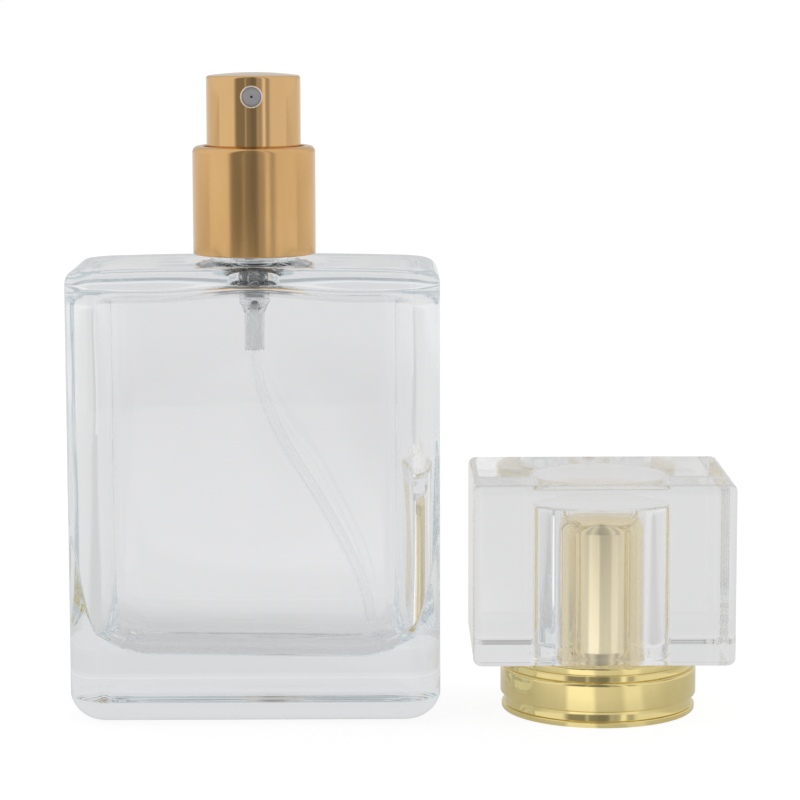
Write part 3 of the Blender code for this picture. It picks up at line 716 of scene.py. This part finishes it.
# node: material, body, slot, and the corners (r, z, radius) of its closed profile
TURNED = {
    "neck_gasket": (RUBBER, "pump", "gasket", [
        (4.0, 75.4, 0.2), (6.2, 75.4, 0.2), (6.2, 74.6, 0.2), (4.0, 74.6, 0.2)]),
    "pump_housing": (CLEAR_PP, "pump", "clear_pp", [
        (2.95, 76.4, 0.15), (6.2, 76.4, 0.15), (6.2, 75.6, 0.1), (3.6, 75.6, 0.2), (3.6, 65.0, 0.4),
        (2.28, 64.0, 0.4), (2.28, 60.8, 0.5), (1.5, 59.0, 0.4), (1.5, 53.5, 0.15),
        (0.95, 53.5, 0.15), (0.95, 58.9, 0.05), (0.5, 58.9, 0), (0.5, 59.35, 0), (1.05, 59.9, 0.1),
        (1.05, 61.3, 0.1), (1.75, 61.3, 0.1), (1.75, 64.4, 0.3), (2.95, 65.4, 0.3)]),
    "turret": (WHITE_PP, "pump", "white_pp", [
        (1.8, 79.3, 0.1), (3.1, 79.3, 0.25), (3.1, 77.3, 0.2), (6.2, 77.3, 0.15),
        (6.2, 76.6, 0.1), (1.8, 76.6, 0.1)]),
    "stem": (WHITE_PP, "stem_group", "white_pp", [
        (0.8, 88.4, 0.05), (1.6, 88.4, 0.25), (1.6, 76.4, 0.1), (2.55, 76.4, 0.1),
        (2.55, 75.9, 0.1), (1.6, 75.9, 0.1), (1.6, 71.5, 0.1), (0.8, 71.5, 0.1)]),
    "piston": (CLEAR_PE, "stem_group", "clear_pe", [
        (1.75, 73.6, 0.05), (2.35, 73.6, 0.05), (2.84, 73.8, 0.05), (2.84, 73.1, 0.1),
        (2.6, 72.7, 0.2), (2.6, 72.2, 0.2), (2.84, 71.8, 0.1), (2.84, 71.2, 0.05),
        (2.35, 71.4, 0.05), (1.75, 71.4, 0.05)]),
}
for node, (mat, body, slot, corners) in TURNED.items():
    verts, faces = lathe(fillet(corners, True, 5), segments=96)
    make_object(node + "_fine", verts, faces, mat, body, [node])

verts, faces = lathe(fillet([
    (0.0, 73.4, 0), (0.6, 73.4, 0.1), (0.6, 71.2, 0.1), (2.1, 71.2, 0.15), (2.1, 70.6, 0.15),
    (0.9, 70.6, 0.1), (0.9, 69.6, 0.3), (0.0, 69.6, 0)], False, 4), segments=64, closed=False)
make_object("stem_foot_fine", verts, faces, WHITE_PP, "stem_group", ["stem_foot"])


def coil(radius, heights, steps=40):
    """Points of a coil through (turn, height) pairs, with some steps to a turn."""
    turns, levels = zip(*heights)
    points = []
    for i in range(int(turns[-1] * steps) + 1):
        turn = i / steps
        z = float(np.interp(turn, turns, levels))
        a = math.tau * turn
        points.append((radius * math.cos(a), radius * math.sin(a), z))
    return points


WIRE_R = 0.17
RETURN_TURNS = [(0, 61.87), (4.4, 63.45), (5, 63.9), (8, 69.2), (8.6, 69.85), (9.4, 70.03)]
verts, faces = sweep(coil(1.35, RETURN_TURNS), WIRE_R, 12)
spring = make_object("return_spring_fine", verts, faces, STEEL, "pump", ["return_spring"], 60)
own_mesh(spring)

VALVE_TURNS = [(0, 74.1), (0.7, 74.3), (2, 75.2), (2.7, 75.4)]
verts, faces = sweep(coil(2.15, VALVE_TURNS), WIRE_R, 12)
make_object("valve_spring_fine", verts, faces, STEEL, "stem_group", ["valve_spring"], 60)

BALL_R, BALL_Z = 0.85, 60.2
half_turn = [math.pi * k / 40 for k in range(41)]
ball_profile = [(BALL_R * math.sin(u), BALL_Z + BALL_R * math.cos(u)) for u in half_turn]
verts, faces = lathe(ball_profile, segments=64, closed=False)
make_object("check_ball_fine", verts, faces, STEEL, "inlet_ball", ["check_ball"])

TUBE_STRAIGHT = [(0.0, 0.0, 58.6), (0.0, 0.0, 57.0), (0.0, 0.0, 55.0)]
TUBE_BOW = [(0.0, 53.1), (1.5, 38.0), (15.5, 27.0), (16.9, 12.5)]  # (x, z) of a Bezier curve


def bezier(controls, steps=60):
    """Points (x, 0, z) along a cubic Bezier curve."""
    points = []
    for i in range(steps + 1):
        t = i / steps
        k = 1 - t
        weights = (k**3, 3 * k * k * t, 3 * k * t * t, t**3)
        x, z = (sum(w * c[axis] for w, c in zip(weights, controls)) for axis in (0, 1))
        points.append((x, 0.0, z))
    return points


verts, faces = sweep(TUBE_STRAIGHT + bezier(TUBE_BOW), 0.8, 32, 0.55)
make_object("dip_tube_fine", verts, faces, CLEAR_PE, "pump", ["dip_tube"])


# ---------------------------------------------------------------- stage, light and camera

LIGHT_TURNS = 96  # light is reflected many times inside the clear pieces; fewer turn edges black
scene = bpy.context.scene
scene.view_settings.view_transform = "Standard"
scene.cycles.max_bounces = LIGHT_TURNS
scene.cycles.transmission_bounces = LIGHT_TURNS
scene.cycles.transparent_max_bounces = 16
scene.cycles.glossy_bounces = LIGHT_TURNS
scene.cycles.caustics_reflective = True
scene.cycles.caustics_refractive = True


def ramp_node(nodes, stops):
    """A colour ramp over the azimuth, from (degrees, level) stops; 0 is towards -Y."""
    ramp = nodes.new("ShaderNodeValToRGB")
    elements = ramp.color_ramp.elements
    elements.remove(elements[-1])
    for i, (degrees, level) in enumerate(stops):
        position = (degrees + 180) / 360
        element = elements[0] if i == 0 else elements.new(position)
        element.position = position
        element.color = (level, level, level, 1)
    return ramp


def azimuth(nodes, links, vector):
    """The direction of a vector in plan, from 0 to 1 round a full turn; 0.5 is towards -Y."""
    split = nodes.new("ShaderNodeSeparateXYZ")
    links.new(vector, split.inputs["Vector"])
    flip = nodes.new("ShaderNodeMath")
    flip.operation = "MULTIPLY"
    flip.inputs[1].default_value = -1.0
    links.new(split.outputs["Y"], flip.inputs[0])
    angle = nodes.new("ShaderNodeMath")
    angle.operation = "ARCTAN2"
    links.new(split.outputs["X"], angle.inputs[0])
    links.new(flip.outputs[0], angle.inputs[1])
    spread = nodes.new("ShaderNodeMapRange")
    spread.inputs["From Min"].default_value = -math.pi
    spread.inputs["From Max"].default_value = math.pi
    links.new(angle.outputs[0], spread.inputs["Value"])
    return spread.outputs["Result"]


def make_world():
    """A pale studio, seen striped in the metal, smoother in the glass and white by the camera."""
    world = bpy.data.worlds.new("studio")
    scene.world = world
    world.use_nodes = True
    nodes, links = world.node_tree.nodes, world.node_tree.links
    coords = nodes.new("ShaderNodeTexCoord")
    around = azimuth(nodes, links, coords.outputs["Generated"])
    mirrored = ramp_node(nodes, MIRRORED_LEVELS)
    soft = ramp_node(nodes, SOFT_LEVELS)
    links.new(around, mirrored.inputs["Fac"])
    links.new(around, soft.inputs["Fac"])
    path = nodes.new("ShaderNodeLightPath")
    glossy = nodes.new("ShaderNodeMix")
    glossy.data_type = "RGBA"
    links.new(path.outputs["Is Reflection Ray"], glossy.inputs["Factor"])
    links.new(soft.outputs["Color"], glossy.inputs["A"])
    links.new(mirrored.outputs["Color"], glossy.inputs["B"])
    seen = nodes.new("ShaderNodeMix")
    seen.data_type = "RGBA"
    seen.inputs["B"].default_value = (1.0, 1.0, 1.0, 1.0)
    links.new(path.outputs["Is Camera Ray"], seen.inputs["Factor"])
    links.new(glossy.outputs["Result"], seen.inputs["A"])
    links.new(seen.outputs["Result"], nodes["Background"].inputs["Color"])


# brightness of the studio by direction, in degrees from -Y: seen in the metal, through the glass
MIRRORED_LEVELS = [
    (-180, 0.70), (-150, 0.72), (-120, 0.93), (-95, 0.97), (-47, 0.96), (-43.5, 0.6),
    (-39, 0.31), (-20, 0.29), (-17, 0.60), (-13.5, 0.31), (-6, 0.28), (-2, 0.23), (5, 0.22),
    (9, 0.27), (12, 0.52), (18, 0.46), (23, 0.58), (26, 1.05), (30, 1.02), (33, 0.54),
    (39, 0.48), (43, 0.8), (48, 0.9), (120, 0.93), (150, 0.72), (180, 0.70),
]
SOFT_LEVELS = [
    (-180, 0.76), (-120, 0.80), (-60, 0.82), (-45, 0.45), (-30, 0.75), (-10, 0.35),
    (15, 0.45), (30, 0.8), (45, 0.45), (60, 0.82), (120, 0.80), (180, 0.76),
]
# painted light: the table's glow by direction from a point near the cap, in bright stripes which the
# cap's gold mirrors as highlights
FLOOR_PAINTED_LIGHT_STRIPES = [
    (-180, 1.0), (-65, 1.0), (-42, 1.02), (-37, 1.6), (-11, 1.6), (-6, 1.0), (2, 0.97),
    (22, 0.97), (28, 1.28), (43, 1.28), (49, 1.0), (70, 1.0), (180, 1.0),
]
FAN_AHEAD = 6.5  # mm from the cap's axis to the middle of the fan of painted light stripes
# painted shade in the table's glow: darker towards the front, and dipping under the object as a painted
# contact shadow
FLOOR_REACH = (-0.4, 0.6)  # stretch of Y over which the table's glow changes
FLOOR_GLOW_PAINTED_SHADE = [  # and its brightness, from the front to the back
    (-0.36, 0.30), (-0.10, 0.67), (-0.035, 0.66), (-0.014, 0.52), (0.014, 0.52),
    (0.045, 0.625), (0.20, 0.64), (0.30, 0.655), (0.50, 0.72),
]
FLOOR_FRONT = 0.36  # radius of the table's front edge, in metres
FLOOR_FAR = 60  # how far it runs on behind
FLOOR_SEEN = 0.90  # its glow in the picture itself
make_world()


def make_floor():
    """A pale table: half round in front of the object, and running on far behind it."""
    mesh = bpy.data.meshes.new("studio_floor")
    corners = [(-FLOOR_FAR, 0, 0)]
    for k in range(37):
        turn = math.radians(5 * k - 90)
        corners.append((FLOOR_FRONT * math.sin(turn), -FLOOR_FRONT * math.cos(turn), 0))
    corners += [(FLOOR_FAR, 0, 0), (FLOOR_FAR, FLOOR_FAR, 0), (-FLOOR_FAR, FLOOR_FAR, 0)]
    mesh.from_pydata(corners, [], [tuple(range(len(corners)))])
    floor = bpy.data.objects.new("studio_floor", mesh)
    scene.collection.objects.link(floor)
    floor.location.z = -0.1 * MM
    mat, nodes, links, shader = new_material("floor_white")
    tone = noise_node(nodes, links, 6.0, 2.0)
    links.new(
        tinted(nodes, links, tone, (0.16, 0.16, 0.16), (0.17, 0.17, 0.17)), shader.inputs["Base Color"]
    )
    shader.inputs["Roughness"].default_value = 0.9
    shader.inputs["Specular IOR Level"].default_value = 0.1
    shader.inputs["Emission Color"].default_value = (1.0, 1.0, 1.0, 1.0)
    # rays other than the camera's see the table glow with painted light stripes and painted shade; the
    # camera sees it evenly
    path = nodes.new("ShaderNodeLightPath")
    pick = nodes.new("ShaderNodeMix")
    links.new(path.outputs["Is Camera Ray"], pick.inputs["Factor"])
    links.new(painted_floor_glow(nodes, links), pick.inputs["A"])
    pick.inputs["B"].default_value = FLOOR_SEEN
    links.new(pick.outputs["Result"], shader.inputs["Emission Strength"])
    mesh.materials.append(mat)


def painted_floor_glow(nodes, links):
    """The table's painted glow: painted light stripes by direction, times painted shade from front to
    back with a dip under the object.
    """
    coords = nodes.new("ShaderNodeTexCoord")
    moved = nodes.new("ShaderNodeMapping")
    moved.inputs["Location"].default_value = (-CAP[0] * MM, -(CAP[1] - FAN_AHEAD) * MM, 0)
    links.new(coords.outputs["Object"], moved.inputs["Vector"])
    # painted light: bright stripes of glow, fanned out from near the cap, that its gold mirrors as
    # highlights
    stripes = ramp_node(nodes, FLOOR_PAINTED_LIGHT_STRIPES)
    links.new(azimuth(nodes, links, moved.outputs["Vector"]), stripes.inputs["Fac"])
    split = nodes.new("ShaderNodeSeparateXYZ")
    links.new(coords.outputs["Object"], split.inputs["Vector"])
    depth = ranged(nodes, links, split.outputs["Y"], 0.0, 1.0, *FLOOR_REACH)
    front, back = FLOOR_REACH
    # painted shade: the glow falls off towards the front and dips under the object as a painted contact
    # shadow
    fade = ramp_node(nodes, [
        (360 * (y - front) / (back - front) - 180, level) for y, level in FLOOR_GLOW_PAINTED_SHADE
    ])
    links.new(depth, fade.inputs["Fac"])
    glow = nodes.new("ShaderNodeMath")
    glow.operation = "MULTIPLY"
    links.new(stripes.outputs["Color"], glow.inputs[0])
    links.new(fade.outputs["Color"], glow.inputs[1])
    return glow.outputs["Value"]


make_floor()

SENSOR = 36.0
PICTURE_WIDTH = 800
FOCAL_LENGTH = 2987.3  # in pixels
YAW, PITCH, ROLL = -0.369, 7.677, -0.118  # degrees; the camera looks down by PITCH
camera_data = bpy.data.cameras.new("camera")
camera_data.sensor_width = SENSOR
camera_data.lens = FOCAL_LENGTH * SENSOR / PICTURE_WIDTH
camera_data.clip_start = 0.01
camera = bpy.data.objects.new("camera", camera_data)
scene.collection.objects.link(camera)
camera.location = (0.0185, -0.43819, 0.10484)
camera.rotation_euler = (
    Matrix.Rotation(math.radians(YAW), 3, "Z")
    @ Matrix.Rotation(math.radians(90 - PITCH), 3, "X")
    @ Matrix.Rotation(math.radians(ROLL), 3, "Z")
).to_euler()
scene.camera = camera

bpy.context.view_layer.update()
